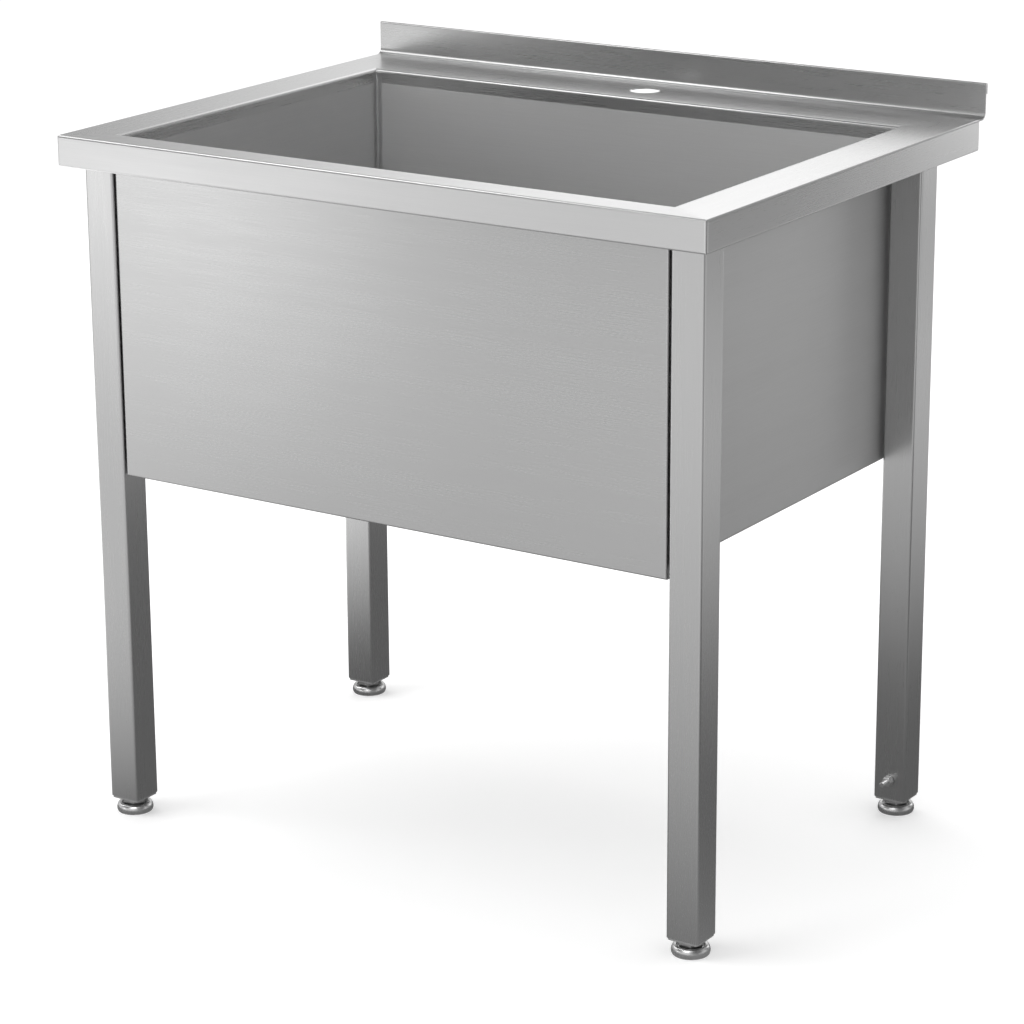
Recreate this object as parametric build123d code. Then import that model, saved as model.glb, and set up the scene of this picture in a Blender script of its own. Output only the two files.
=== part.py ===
from build123d import *
import math
import os

# Free-standing laundry sink in folded and welded stainless sheet: a deep single bowl under a
# flat mitred rim, a low upstand along the back, a flush front panel and four square legs on
# screw-adjusted feet. Millimetres. X runs along the front, Y from the front to the wall, Z up.
# Lengths along Y are measured from the front face of the rim; the finished pieces are shifted
# so that the origin lies on the floor, under the middle of the sink.

# ---- rim and upstand -------------------------------------------------------------------
rim_width = 800.0
rim_depth = 600.0            # front face of the rim to the face of the upstand
rim_height = 780.0           # floor to the flat top
sheet = 1.5                  # thickness of the rim and bowl sheet
front_border = 38.0          # flat top in front of the bowl
side_border = 59.0           # flat top beside the bowl
deck_depth = 93.0            # flat top behind the bowl, up to the upstand
apron_height = 34.0
apron_return = 10.0          # fold under the lower edge of the rim
apron_bend = 2.5             # outer bend radius of the rim's edges
apron_corner = 3.0           # dressed upright corner where two rim sides meet
apron_rear_gap = 14.0        # side folds stop this far before the upstand
bowl_lip = 16.0              # fold down into the bowl, welded to the bowl wall
bowl_lip_bend = 4.0
upstand_height = 38.0
upstand_bend = 6.0
hem_height = 12.0            # top edge of the upstand, folded back on itself
hem_gap = 1.0
tap_hole_radius = 17.5
tap_hole_to_upstand = 49.0

# ---- bowl ------------------------------------------------------------------------------
bowl_depth = 366.0           # flat top to the floor beside the walls
floor_fall = 8.0             # four creased facets fall this much to the waste
floor_bend = 2.0
floor_bend_steps = 4         # flat strips that make the bend
floor_flange = 14.0          # upturned edge of the floor, welded to the walls
seat_flat = 66.0             # half width of the level patch round the waste
seat_radius = 59.5
seat_depth = 3.0
waste_hole_radius = 45.0

# ---- front panel -----------------------------------------------------------------------
panel_sheet = 1.2
panel_drop = 10.0            # bowl's floor beside the walls to the panel's lower edge
panel_recess = 1.0           # behind the faces of the legs
panel_side_gap = 3.0
panel_bend = 2.0

# ---- legs ------------------------------------------------------------------------------
leg_size = 38.0
leg_wall = 1.5
leg_corner = 3.0
leg_bowl_gap = 3.5           # between a leg and the outside of the bowl
leg_front_inset = 25.0       # rim face to the front of a front leg
leg_rear_inset = 78.0        # upstand face to the back of a rear leg
leg_clearance = 20.0         # floor to the lower end of the tube
plug_clearance = 0.2         # round a plug inside the tube
socket_plate = 3.0
socket_length = 90.0
socket_wall = 3.0
socket_screw_drop = 52.0     # flat top to the upper socket screw
socket_screw_pitch = 26.0

# ---- levelling feet --------------------------------------------------------------------
thread_radius = 5.0
thread_pitch = 1.5
thread_depth = 0.6
thread_clearance = 0.2
foot_turns = 16              # full turns from screwed home to the lowest setting
insert_flange = 2.5
insert_inset = 1.0
insert_plug = 30.0
base_radius = 20.5
base_edge = 4.0              # top of the upright side
base_seat_height = 7.0       # the collar turns on this
base_lip_height = 11.0       # rounded lip that stands round the collar's lower end
base_lip_flat = 1.6
base_lip_steps = 4           # flat strips that make the lip's rounding
base_recess_gap = 1.1        # lip to the collar's corners
base_chamfer = 1.2
base_socket_depth = 4.5
spigot_radius = 5.7
running_gap = 0.3            # between pieces that move on each other
hex_across_flats = 24.0
hex_chamfer = 1.0
stem_hold = 20.7             # thread still in the plug at the lowest setting

# ---- small screws and the earth stud -----------------------------------------------------
screw_radius = 3.0
screw_hole_clearance = 0.15
screw_head_flats = 10.0
screw_head_height = 4.0
screw_length = 9.0
stud_height = 42.5           # floor to the earth stud
stud_length = 18.0
nut_height = 5.0
washer_radius = 6.2
washer_thickness = 1.2
stud_weld_radius = 4.2
stud_weld_height = 0.8

# ---- waste fitting -----------------------------------------------------------------------
waste_flange_radius = 57.0
waste_flange_thickness = 1.6
waste_wall = 1.5
waste_cup_radius = 41.0      # inside
waste_cup_depth = 36.0
waste_cup_bend = 4.0
top_seal_thickness = 1.0
under_seal_thickness = 3.0
friction_ring_thickness = 1.0
ring_width = 11.0            # seals and ring, measured outwards from the cup
locknut_height = 9.0
locknut_radius = 54.0
locknut_lugs = 8
locknut_lug = 4.0
fit_gap = 0.3                # between the cup and the rings round it
spout_radius = 23.9
spout_wall = 2.4
spout_length = 16.0
slip_nut_radius = 29.0
slip_nut_height = 15.0
slip_nut_ribs = 16
slip_nut_rib = 1.2
slip_nut_floor = 3.0
tail_washer_thickness = 2.0
tail_radius = 20.0
tail_wall = 1.8
tail_flange = 2.0
tail_length = 32.0
tail_bead = 1.2              # rolled bead that the trap's nut stops at, proud of the tube
tail_bead_height = 2.0
tail_bead_drop = 1.0         # below the slip nut
outlet_slots = 6
outlet_slot_radius = 5.0
outlet_ring_radius = 13.0
outlet_boss_radius = 3.4

# ---- lift-out basket -------------------------------------------------------------------
basket_gap = 1.2             # basket to cup, all round
basket_wall = 0.9
basket_depth = 25.0
basket_draft = 3.0           # the basket narrows this much to its floor
basket_rim = 2.0
basket_hole_radius = 2.0
basket_floor_rings = (8, 14)
basket_wall_holes = 18
basket_seal_radius = 24.0
basket_seal_thickness = 4.0
post_radius = 3.0
knob_radius = 9.0
knob_height = 7.0
post_rise = 22.0             # basket floor to the underside of the knob

# ---- for the cuts ------------------------------------------------------------------------
past = 1.0                   # a cut runs this far past the faces that it opens
least_corner = 0.5           # smallest rounding left on a square plug

# ---- worked out from the sizes above ------------------------------------------------------
half_width = rim_width / 2
overall_depth = rim_depth + 2 * sheet + hem_gap
under_top = rim_height - sheet
apron_bottom = rim_height - apron_height

bowl_half = half_width - side_border
bowl_front = front_border
bowl_back = rim_depth - deck_depth
bowl_middle = (bowl_front + bowl_back) / 2
lip_bottom = rim_height - bowl_lip
floor_z = rim_height - bowl_depth
floor_flange_top = floor_z + floor_flange
seat_z = floor_z - floor_fall - seat_depth      # upper face of the seat round the waste

leg_inner = bowl_half + sheet + leg_bowl_gap
leg_x = leg_inner + leg_size / 2
leg_front_y = leg_front_inset + leg_size / 2
leg_rear_y = rim_depth - leg_rear_inset - leg_size / 2
leg_top = under_top - socket_plate
leg_places = {
    "front_left": (-leg_x, leg_front_y),
    "front_right": (leg_x, leg_front_y),
    "rear_left": (-leg_x, leg_rear_y),
    "rear_right": (leg_x, leg_rear_y),
}
plug_size = leg_size - 2 * (leg_wall + plug_clearance)
plug_corner = max(leg_corner - leg_wall, least_corner)

insert_bottom = leg_clearance - insert_flange
hex_top = insert_bottom - running_gap
hex_bottom = base_seat_height + running_gap
foot_travel = foot_turns * thread_pitch
stem_top = insert_bottom + foot_travel + stem_hold

screw_core = screw_radius - thread_depth / 2
nut_seat = stud_weld_height + washer_thickness   # measured out from the leg's face
nut_outer = nut_seat + nut_height

waste_outer_radius = waste_cup_radius + waste_wall
flange_z = seat_z + top_seal_thickness           # underside of the waste flange
flange_top = flange_z + waste_flange_thickness
cup_floor = flange_top - waste_cup_depth         # upper face of the cup's floor
seat_underside = seat_z - sheet
ring_inner = waste_outer_radius + fit_gap
ring_outer = ring_inner + ring_width
friction_top = seat_underside - under_seal_thickness
locknut_top = friction_top - friction_ring_thickness
spout_top = cup_floor - waste_wall
spout_bottom = spout_top - spout_length
tail_top = spout_bottom - tail_washer_thickness
tail_bottom = tail_top - tail_length
slip_nut_seat = tail_top - tail_flange           # the nut bears on the tailpiece's flange here
slip_nut_bottom = slip_nut_seat - slip_nut_floor

basket_radius = waste_cup_radius - basket_gap
basket_floor = cup_floor + basket_seal_thickness


def save(name, shape):
    """Shift a piece to the part's own frame and write it as one file."""
    os.makedirs("parts", exist_ok=True)
    shape = Pos(0, -overall_depth / 2, 0) * shape
    shape.label = name
    export_step(shape, "parts/" + name + ".step")


def box(x0, x1, y0, y1, z0, z1):
    middle = ((x0 + x1) / 2, (y0 + y1) / 2, (z0 + z1) / 2)
    return Pos(*middle) * Box(x1 - x0, y1 - y0, z1 - z0)


def rod(radius, z0, z1, x=0.0, y=0.0):
    return Pos(x, y, (z0 + z1) / 2) * Cylinder(radius, z1 - z0)


def ring(outer, inner, z0, z1):
    return rod(outer, z0, z1) - rod(inner, z0 - past, z1 + past)


def turned(points):
    """A solid of revolution about Z, from the outline (radius, height)."""
    outline = Polyline(*[(r, 0, z) for r, z in points], close=True)
    return revolve(make_face(outline), Axis.Z)


def prism(points, z0, z1):
    """An upright prism over the plan outline (x, y)."""
    outline = Polyline(*[(x, y, z0) for x, y in points], close=True)
    return extrude(make_face(outline), amount=z1 - z0, dir=(0, 0, 1))


def hexagon(across_flats, z0, z1):
    return Pos(0, 0, z0) * extrude(RegularPolygon(across_flats / 2, 6, major_radius=False), z1 - z0)


def folded(points, radii, side, thickness):
    """The section of a folded sheet: its visible side as a path with rounded bends."""
    path = FilletPolyline(*points, radius=radii)
    return make_face(path.offset_2d(thickness, kind=Kind.ARC, side=side, closed=True))


# ---- rim -------------------------------------------------------------------------------
def rim_section(border):
    """Section of a rim side, drawn from its outer face (x = 0) inwards; y is height."""
    points = [
        (apron_return, apron_bottom),
        (0, apron_bottom),
        (0, rim_height),
        (border, rim_height),
        (border, lip_bottom),
    ]
    return folded(points, [apron_bend, apron_bend, bowl_lip_bend], Side.RIGHT, sheet)


def rim_outline():
    """Plan of the whole rim, with its two front corners dressed round."""
    plan = Rectangle(rim_width, rim_depth, align=(Align.CENTER, Align.MIN))
    front_corners = plan.vertices().group_by(Axis.Y)[0]
    return fillet(front_corners, apron_corner)


def rim_front():
    across = Plane(origin=(-half_width, 0, 0), x_dir=(0, 1, 0), z_dir=(1, 0, 0))
    folded_length = extrude(across * rim_section(front_border), amount=rim_width)
    mitred = prism(
        [(-half_width, 0), (half_width, 0), (bowl_half, bowl_front), (-bowl_half, bowl_front)],
        0, rim_height + past)
    return folded_length & mitred & extrude(rim_outline(), amount=rim_height + past)


def rim_side(sign):
    """A side of the rim; sign is -1 for the left and 1 for the right."""
    deck_end = rim_depth - upstand_bend
    across = Plane(origin=(sign * half_width, 0, 0), x_dir=(-sign, 0, 0), z_dir=(0, sign, 0))
    start = 0 if sign > 0 else -rim_depth
    section = Pos(0, 0, start) * rim_section(side_border)
    folded_length = extrude(across * section, amount=rim_depth)
    mitred = prism(
        [
            (sign * half_width, 0),
            (sign * bowl_half, bowl_front),
            (sign * bowl_half, bowl_back),
            (sign * half_width, deck_end),
        ], 0, rim_height + past)
    open_rear = box(
        sign * half_width - side_border / 2, sign * half_width + side_border / 2,
        rim_depth - apron_rear_gap, rim_depth, 0, under_top)
    rim = folded_length & mitred & extrude(rim_outline(), amount=rim_height + past)
    return rim - open_rear


def rear_deck():
    deck_end = rim_depth - upstand_bend
    across = Plane(origin=(-half_width, 0, 0), x_dir=(0, 1, 0), z_dir=(1, 0, 0))
    points = [(bowl_back, lip_bottom), (bowl_back, rim_height), (deck_end, rim_height)]
    section = folded(points, [bowl_lip_bend], Side.RIGHT, sheet)
    mitred = prism(
        [
            (-bowl_half, bowl_back),
            (bowl_half, bowl_back),
            (half_width, deck_end),
            (-half_width, deck_end),
        ], 0, rim_height + past)
    tap_hole = rod(tap_hole_radius, 0, rim_height + past, 0, rim_depth - tap_hole_to_upstand)
    return (extrude(across * section, amount=rim_width) & mitred) - tap_hole


def upstand():
    """Upturned back edge: cove bend, low wall and a hem folded down behind it."""
    across = Plane(origin=(-half_width, 0, 0), x_dir=(0, 1, 0), z_dir=(1, 0, 0))
    top = rim_height + upstand_height
    back = rim_depth + 2 * sheet + hem_gap
    turn = (back - rim_depth) / 2
    cove = RadiusArc(
        (rim_depth - upstand_bend, rim_height), (rim_depth, rim_height + upstand_bend),
        -upstand_bend)
    face = Line((rim_depth, rim_height + upstand_bend), (rim_depth, top - turn))
    over = RadiusArc((rim_depth, top - turn), (back, top - turn), turn)
    hem = Line((back, top - turn), (back, top - hem_height))
    path = Wire([cove, face, over, hem])
    section = make_face(path.offset_2d(sheet, kind=Kind.ARC, side=Side.RIGHT, closed=True))
    return extrude(across * section, amount=rim_width)


# ---- bowl ------------------------------------------------------------------------------
def bowl_wall(side):
    """One flat wall, mitred to its neighbours at the upright corners."""
    inside = {
        "left": [(-bowl_half, bowl_front), (-bowl_half, bowl_back)],
        "right": [(bowl_half, bowl_back), (bowl_half, bowl_front)],
        "front": [(bowl_half, bowl_front), (-bowl_half, bowl_front)],
        "back": [(-bowl_half, bowl_back), (bowl_half, bowl_back)],
    }[side]
    outside = []
    for x, y in reversed(inside):
        step_x = math.copysign(sheet, x)
        step_y = -sheet if y == bowl_front else sheet
        outside.append((x + step_x, y + step_y))
    return prism(inside + outside, floor_flange_top, lip_bottom)


def tray(grow):
    """The floor's form as a solid: upright edge, bend in flat strips, facets to the waste."""
    width = 2 * (bowl_half + grow)
    depth = bowl_back - bowl_front + 2 * grow
    bend = floor_bend + grow
    level = floor_z - grow
    layers = [(0.0, floor_flange_top)]
    for step in range(floor_bend_steps + 1):
        turn = math.radians(90 * step / floor_bend_steps)
        layers.append((bend * (1 - math.cos(turn)), level + bend * (1 - math.sin(turn))))
    sections = [
        Pos(0, bowl_middle, z) * Rectangle(width - 2 * inset, depth - 2 * inset)
        for inset, z in layers
    ]
    patch = Rectangle(2 * seat_flat, 2 * seat_flat)
    sections.append(Pos(0, bowl_middle, level - floor_fall) * patch)
    return loft(sections, ruled=True)


def bowl_floor():
    middle = Pos(0, bowl_middle, 0)
    flat_z = floor_z - floor_fall
    pressed = middle * rod(seat_radius + sheet, seat_underside, flat_z)
    recess = middle * rod(seat_radius, seat_z, flat_z + sheet)
    hole = middle * rod(waste_hole_radius, seat_underside - past, flat_z + past)
    return (tray(sheet) + pressed) - tray(0.0) - recess - hole


# ---- front panel -------------------------------------------------------------------------
def front_panel():
    """Flush panel between the front legs; its edges fold back and meet the bowl."""
    face_y = leg_front_inset + panel_recess
    back_y = bowl_front - sheet
    half = leg_inner - panel_side_gap
    low = floor_z - panel_drop
    shell = box(-half, half, face_y, back_y, low, under_top)
    outer_edges = shell.edges().filter_by(GeomType.LINE).group_by(Axis.Y)[0]
    folds = [edge for edge in outer_edges if edge.center().Z < under_top - past]
    shell = fillet(folds, panel_bend)
    hollow = box(
        -half + panel_sheet, half - panel_sheet, face_y + panel_sheet, back_y + past,
        low + panel_sheet, under_top + past)
    above_folds = box(
        -half - past, half + past, face_y + panel_sheet, back_y + past,
        lip_bottom, under_top + past)
    return shell - hollow - above_folds


# ---- legs ------------------------------------------------------------------------------
def square_bar(size, corner, z0, z1):
    return Pos(0, 0, z0) * extrude(RectangleRounded(size, size, corner), z1 - z0)


def socket_screw_heights():
    first = rim_height - socket_screw_drop
    return [first, first - socket_screw_pitch]


def across_hole(radius, z):
    """A drilling along +Y through the back wall of a leg."""
    return Pos(0, leg_size / 2, z) * Rot(90, 0, 0) * Cylinder(radius, leg_size)


def leg_tube(earthed):
    tube = square_bar(leg_size, leg_corner, leg_clearance, leg_top)
    inside = leg_size - 2 * leg_wall
    tube -= square_bar(inside, plug_corner, leg_clearance - past, leg_top + past)
    for z in socket_screw_heights():
        tube -= across_hole(screw_radius + screw_hole_clearance, z)
    if earthed:
        drilling = Cylinder(screw_radius + screw_hole_clearance, 4 * leg_wall)
        tube -= Pos(0, -leg_size / 2, stud_height) * Rot(90, 0, 0) * drilling
    return tube


def leg_socket():
    """Plate welded under the rim, with a square sleeve that the leg slides over."""
    plate = square_bar(leg_size, leg_corner, leg_top, under_top)
    sleeve_bottom = leg_top - socket_length
    sleeve = square_bar(plug_size, plug_corner, sleeve_bottom, leg_top)
    sleeve -= square_bar(plug_size - 2 * socket_wall, plug_corner, sleeve_bottom - past, leg_top)
    for z in socket_screw_heights():
        sleeve -= across_hole(screw_radius + screw_hole_clearance, z)
    return plate + sleeve


def leg_insert():
    """Threaded plug in the lower end of the tube, with a thin flange under it."""
    flange = square_bar(leg_size - 2 * insert_inset, leg_corner, insert_bottom, leg_clearance)
    plug = square_bar(plug_size, plug_corner, leg_clearance, leg_clearance + insert_plug)
    bore = rod(thread_radius + thread_clearance, 0, leg_clearance + insert_plug + past)
    return flange + plug - bore


def leg_screw(z):
    """Hexagon-headed screw in the back of a leg."""
    head = hexagon(screw_head_flats, 0, screw_head_height)
    shank = rod(screw_radius, -screw_length, 0)
    return Pos(0, leg_size / 2, z) * Rot(-90, 0, 0) * (head + shank)


def leg_screws():
    screws = []
    for x, y in leg_places.values():
        for z in socket_screw_heights():
            screws.append(Pos(x, y, 0) * leg_screw(z))
    return Compound(children=screws)


# ---- levelling feet --------------------------------------------------------------------
def foot_base():
    """Round base: a domed lip round the collar's seat, and a socket for the spigot."""
    socket_radius = spigot_radius + running_gap
    recess_radius = hex_across_flats / math.sqrt(3) + base_recess_gap
    lip_radius = recess_radius + base_lip_flat
    lip = []
    for step in range(base_lip_steps + 1):
        angle = math.pi / 2 * step / base_lip_steps
        lip.append((
            lip_radius + (base_radius - lip_radius) * math.cos(angle),
            base_edge + (base_lip_height - base_edge) * math.sin(angle),
        ))
    return turned([
        (0, 0),
        (base_radius - base_chamfer, 0),
        (base_radius, base_chamfer),
        *lip,
        (recess_radius, base_lip_height),
        (recess_radius, base_seat_height),
        (socket_radius, base_seat_height),
        (socket_radius, base_seat_height - base_socket_depth),
        (0, base_seat_height - base_socket_depth),
    ])


def thread_outline(bottom, top):
    """Crests and roots of the thread, from the bottom upwards."""
    points = [(thread_radius, bottom)]
    root = thread_radius - thread_depth
    turns = int((top - bottom) / thread_pitch) - 1
    for turn in range(turns):
        z = bottom + (turn + 0.5) * thread_pitch
        points.append((thread_radius, z))
        points.append((root, z + thread_pitch / 4))
        points.append((thread_radius, z + thread_pitch / 2))
    points.append((thread_radius, top - thread_depth))
    points.append((root, top))
    return points


def foot_screw():
    """Threaded stem with a hexagon collar and a spigot that turns in the base."""
    stem = turned(thread_outline(hex_top, stem_top) + [(0, stem_top), (0, hex_top)])
    corner = hex_across_flats / math.sqrt(3)
    middle = (hex_top + hex_bottom) / 2
    bevel = turned([
        (0, hex_bottom),
        (corner - hex_chamfer, hex_bottom),
        (corner, hex_bottom + hex_chamfer),
        (corner, hex_top - hex_chamfer),
        (corner - hex_chamfer, hex_top),
        (0, hex_top),
    ])
    collar = hexagon(hex_across_flats, hex_bottom, hex_top) & bevel
    spigot_bottom = base_seat_height - base_socket_depth + running_gap
    return stem + collar + rod(spigot_radius, spigot_bottom, middle)


# ---- earth stud ------------------------------------------------------------------------
def on_leg_front(shape):
    """Place a piece drawn along +Z so that it points out of the rear right leg's front."""
    x, y = leg_places["rear_right"]
    return Pos(x, y - leg_size / 2, stud_height) * Rot(90, 0, 0) * shape


def earth_stud():
    """Stud welded through the leg; its thread is drawn to the core where the nut sits."""
    free_thread = nut_outer + fit_gap
    return on_leg_front(turned([
        (0, -leg_wall),
        (screw_radius, -leg_wall),
        (screw_radius, 0),
        (stud_weld_radius, 0),
        (screw_core, stud_weld_height),
        (screw_core, free_thread),
        (screw_radius, free_thread),
        (screw_radius, stud_length - thread_depth),
        (screw_radius - thread_depth, stud_length),
        (0, stud_length),
    ]))


def earth_washer():
    return on_leg_front(ring(washer_radius, screw_core + fit_gap, stud_weld_height, nut_seat))


def earth_nut():
    nut = hexagon(screw_head_flats, nut_seat, nut_outer)
    return on_leg_front(nut - rod(screw_core + fit_gap / 2, 0, stud_length))


# ---- waste fitting -----------------------------------------------------------------------
def spread(count, radius, shape):
    """Copies of a shape on a circle about Z."""
    return [Rot(0, 0, 360 * i / count) * Pos(radius, 0, 0) * shape for i in range(count)]


def at_waste(shape):
    return Pos(0, bowl_middle, 0) * shape


def waste_body():
    """Flanged cup with a slotted floor and an outlet spout."""
    bend = waste_cup_bend
    body = turned([
        (waste_cup_radius + bend, flange_top),
        (waste_flange_radius - waste_flange_thickness, flange_top),
        (waste_flange_radius, flange_z),
        (waste_outer_radius, flange_z),
        (waste_outer_radius, spout_top),
        (spout_radius, spout_top),
        (spout_radius, spout_bottom),
        (spout_radius - spout_wall, spout_bottom),
        (spout_radius - spout_wall, spout_top),
        (0, spout_top),
        (0, cup_floor),
        (waste_cup_radius - bend, cup_floor),
        (waste_cup_radius, cup_floor + bend),
        (waste_cup_radius, flange_top - bend),
    ])
    drilling = rod(outlet_slot_radius, spout_top - past, cup_floor + past)
    for slot in spread(outlet_slots, outlet_ring_radius, drilling):
        body -= slot
    body -= rod(outlet_boss_radius, spout_top - past, cup_floor + past)
    return at_waste(body)


def waste_top_seal():
    return at_waste(ring(waste_flange_radius - waste_flange_thickness, waste_hole_radius,
                         seat_z, flange_z))


def waste_under_seal():
    return at_waste(ring(ring_outer, ring_inner, friction_top, seat_underside))


def waste_friction_ring():
    return at_waste(ring(ring_outer, ring_inner, locknut_top, friction_top))


def waste_locknut():
    bottom = locknut_top - locknut_height
    body = ring(locknut_radius, ring_inner, bottom, locknut_top)
    lug = box(-locknut_lug, locknut_lug, -locknut_lug, locknut_lug, bottom, locknut_top)
    for copy in spread(locknut_lugs, locknut_radius, lug):
        body += copy
    return at_waste(body)


def tail_washer():
    outer = spout_radius - fit_gap
    return at_waste(ring(outer, tail_radius - tail_wall, tail_top, spout_bottom))


def tailpiece():
    """Flanged outlet tube, with a rolled bead under the slip nut."""
    bead_top = slip_nut_bottom - tail_bead_drop
    bead_bottom = bead_top - tail_bead_height
    tube = turned([
        (tail_radius - tail_wall, tail_bottom),
        (tail_radius, tail_bottom),
        (tail_radius, slip_nut_seat),
        (spout_radius - fit_gap, slip_nut_seat),
        (spout_radius - fit_gap, tail_top),
        (tail_radius - tail_wall, tail_top),
    ])
    bead = ring(tail_radius + tail_bead, tail_radius - tail_wall / 2, bead_bottom, bead_top)
    return at_waste(tube + bead)


def slip_nut():
    """Ribbed nut, captive on the tailpiece, that draws it up to the spout."""
    top = slip_nut_bottom + slip_nut_height
    body = turned([
        (tail_radius + fit_gap, slip_nut_bottom),
        (slip_nut_radius, slip_nut_bottom),
        (slip_nut_radius, top),
        (spout_radius + fit_gap, top),
        (spout_radius + fit_gap, slip_nut_seat),
        (tail_radius + fit_gap, slip_nut_seat),
    ])
    rib = rod(slip_nut_rib, slip_nut_bottom, top)
    for copy in spread(slip_nut_ribs, slip_nut_radius, rib):
        body += copy
    return at_waste(body)


# ---- lift-out basket -------------------------------------------------------------------
def basket_cup():
    """Perforated cup with a turned-out rim, drawn in towards its floor."""
    low_radius = basket_radius - basket_draft
    top = basket_floor + basket_depth
    cup = turned([
        (post_radius, basket_floor),
        (low_radius, basket_floor),
        (basket_radius - basket_rim, top - basket_wall),
        (basket_radius, top - basket_wall),
        (basket_radius, top),
        (basket_radius - basket_rim - basket_wall, top),
        (low_radius - basket_wall, basket_floor + basket_wall),
        (post_radius, basket_floor + basket_wall),
    ])
    usable = low_radius - 4 * basket_hole_radius
    hole = rod(basket_hole_radius, basket_floor - past, basket_floor + basket_wall + past)
    inner = knob_radius + basket_hole_radius
    for index, count in enumerate(basket_floor_rings):
        share = (index + 1) / len(basket_floor_rings)
        for copy in spread(count, inner + (usable - inner) * share, hole):
            cup -= copy
    drill = Pos(0, 0, basket_floor + basket_depth / 2) * Rot(0, 90, 0)
    drill = drill * Cylinder(basket_hole_radius, 4 * basket_draft)
    for copy in spread(basket_wall_holes, basket_radius - basket_draft / 2 - basket_rim, drill):
        cup -= copy
    return at_waste(cup)


def basket_seal():
    """Rubber stopper under the basket that closes the slotted floor of the cup."""
    return at_waste(ring(basket_seal_radius, post_radius, cup_floor, basket_floor))


def basket_post():
    """Centre post with the knob that the basket is lifted by."""
    collar_z = basket_floor + basket_wall
    knob_z = basket_floor + post_rise
    knob_edge = knob_height / 3
    return at_waste(turned([
        (0, cup_floor),
        (post_radius, cup_floor),
        (post_radius, collar_z),
        (2 * post_radius, collar_z),
        (2 * post_radius, collar_z + basket_rim),
        (post_radius, collar_z + 2 * basket_rim),
        (post_radius, knob_z),
        (knob_radius - knob_edge, knob_z),
        (knob_radius, knob_z + knob_edge),
        (knob_radius, knob_z + knob_height - knob_edge),
        (knob_radius - knob_edge, knob_z + knob_height),
        (0, knob_z + knob_height),
    ]))


def build():
    save("rim_front", rim_front())
    save("rim_left", rim_side(-1))
    save("rim_right", rim_side(1))
    save("rear_deck", rear_deck())
    save("upstand", upstand())

    for side in ("left", "right", "front", "back"):
        save("bowl_wall_" + side, bowl_wall(side))
    save("bowl_floor", bowl_floor())
    save("front_panel", front_panel())

    for corner, (x, y) in leg_places.items():
        place = Pos(x, y, 0)
        save("leg_" + corner, place * leg_tube(corner == "rear_right"))
        save("leg_socket_" + corner, place * leg_socket())
        save("leg_insert_" + corner, place * leg_insert())
        save("foot_screw_" + corner, place * foot_screw())
        save("foot_base_" + corner, place * foot_base())
    save("leg_screws", leg_screws())

    save("earth_stud", earth_stud())
    save("earth_washer", earth_washer())
    save("earth_nut", earth_nut())

    save("waste_body", waste_body())
    save("waste_top_seal", waste_top_seal())
    save("waste_under_seal", waste_under_seal())
    save("waste_friction_ring", waste_friction_ring())
    save("waste_locknut", waste_locknut())
    save("tail_washer", tail_washer())
    save("tailpiece", tailpiece())
    save("slip_nut", slip_nut())

    save("basket_cup", basket_cup())
    save("basket_seal", basket_seal())
    save("basket_post", basket_post())


build()
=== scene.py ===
"""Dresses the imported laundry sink: brushed steel, dressed welds, cut threads, plain studio."""

import math

import bmesh
import bpy
from bpy.props import FloatProperty, FloatVectorProperty, IntProperty, PointerProperty
from mathutils import Matrix, Vector


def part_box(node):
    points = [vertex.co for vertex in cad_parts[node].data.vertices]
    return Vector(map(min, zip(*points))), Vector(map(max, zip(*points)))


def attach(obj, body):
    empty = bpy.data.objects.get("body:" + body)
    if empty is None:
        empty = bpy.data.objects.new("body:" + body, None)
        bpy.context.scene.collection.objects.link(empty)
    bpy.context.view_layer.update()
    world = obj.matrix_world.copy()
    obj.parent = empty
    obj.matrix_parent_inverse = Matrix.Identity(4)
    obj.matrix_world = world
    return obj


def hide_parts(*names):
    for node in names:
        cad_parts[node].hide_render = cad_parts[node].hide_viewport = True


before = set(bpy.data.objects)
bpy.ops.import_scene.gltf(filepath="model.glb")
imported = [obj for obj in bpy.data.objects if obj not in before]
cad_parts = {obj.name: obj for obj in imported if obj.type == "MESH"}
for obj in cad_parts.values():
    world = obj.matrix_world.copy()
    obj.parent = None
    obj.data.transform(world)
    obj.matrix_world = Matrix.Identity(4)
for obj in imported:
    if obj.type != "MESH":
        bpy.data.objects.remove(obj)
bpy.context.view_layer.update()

bl_info = {
    "name": "Laundry Sink",
    "version": (1, 0, 0),
    "blender": (4, 5, 0),
    "location": "View3D > Sidebar > Laundry Sink",
    "description": "Finishes the stainless laundry sink and sets it in a plain studio",
    "category": "Object",
}

MM = 0.001
CORNERS = ("front_left", "front_right", "rear_left", "rear_right")
AXES = {"X": 0, "Y": 1, "Z": 2}
WASTE_X, WASTE_Y = [(low + high) / 2 for low, high in zip(*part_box("waste_body"))][:2]


def linear(colour):
    """The linear values of an sRGB colour written as hex."""
    channels = [int(colour[i:i + 2], 16) / 255 for i in (1, 3, 5)]
    return [c / 12.92 if c <= 0.04045 else ((c + 0.055) / 1.055) ** 2.4 for c in channels]


# ---- sizes and colours that a user would change ---------------------------------------------
def length(name, description, millimetres):
    return FloatProperty(name=name, description=description, default=millimetres * MM, min=0.0,
                         unit="LENGTH", subtype="DISTANCE", precision=5)


def share(name, description, value):
    return FloatProperty(name=name, description=description, default=value, min=0.0, max=1.0,
                         subtype="FACTOR")


def tint(name, description, value):
    return FloatVectorProperty(name=name, description=description, default=linear(value), size=3,
                               min=0.0, max=1.0, subtype="COLOR")


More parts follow.
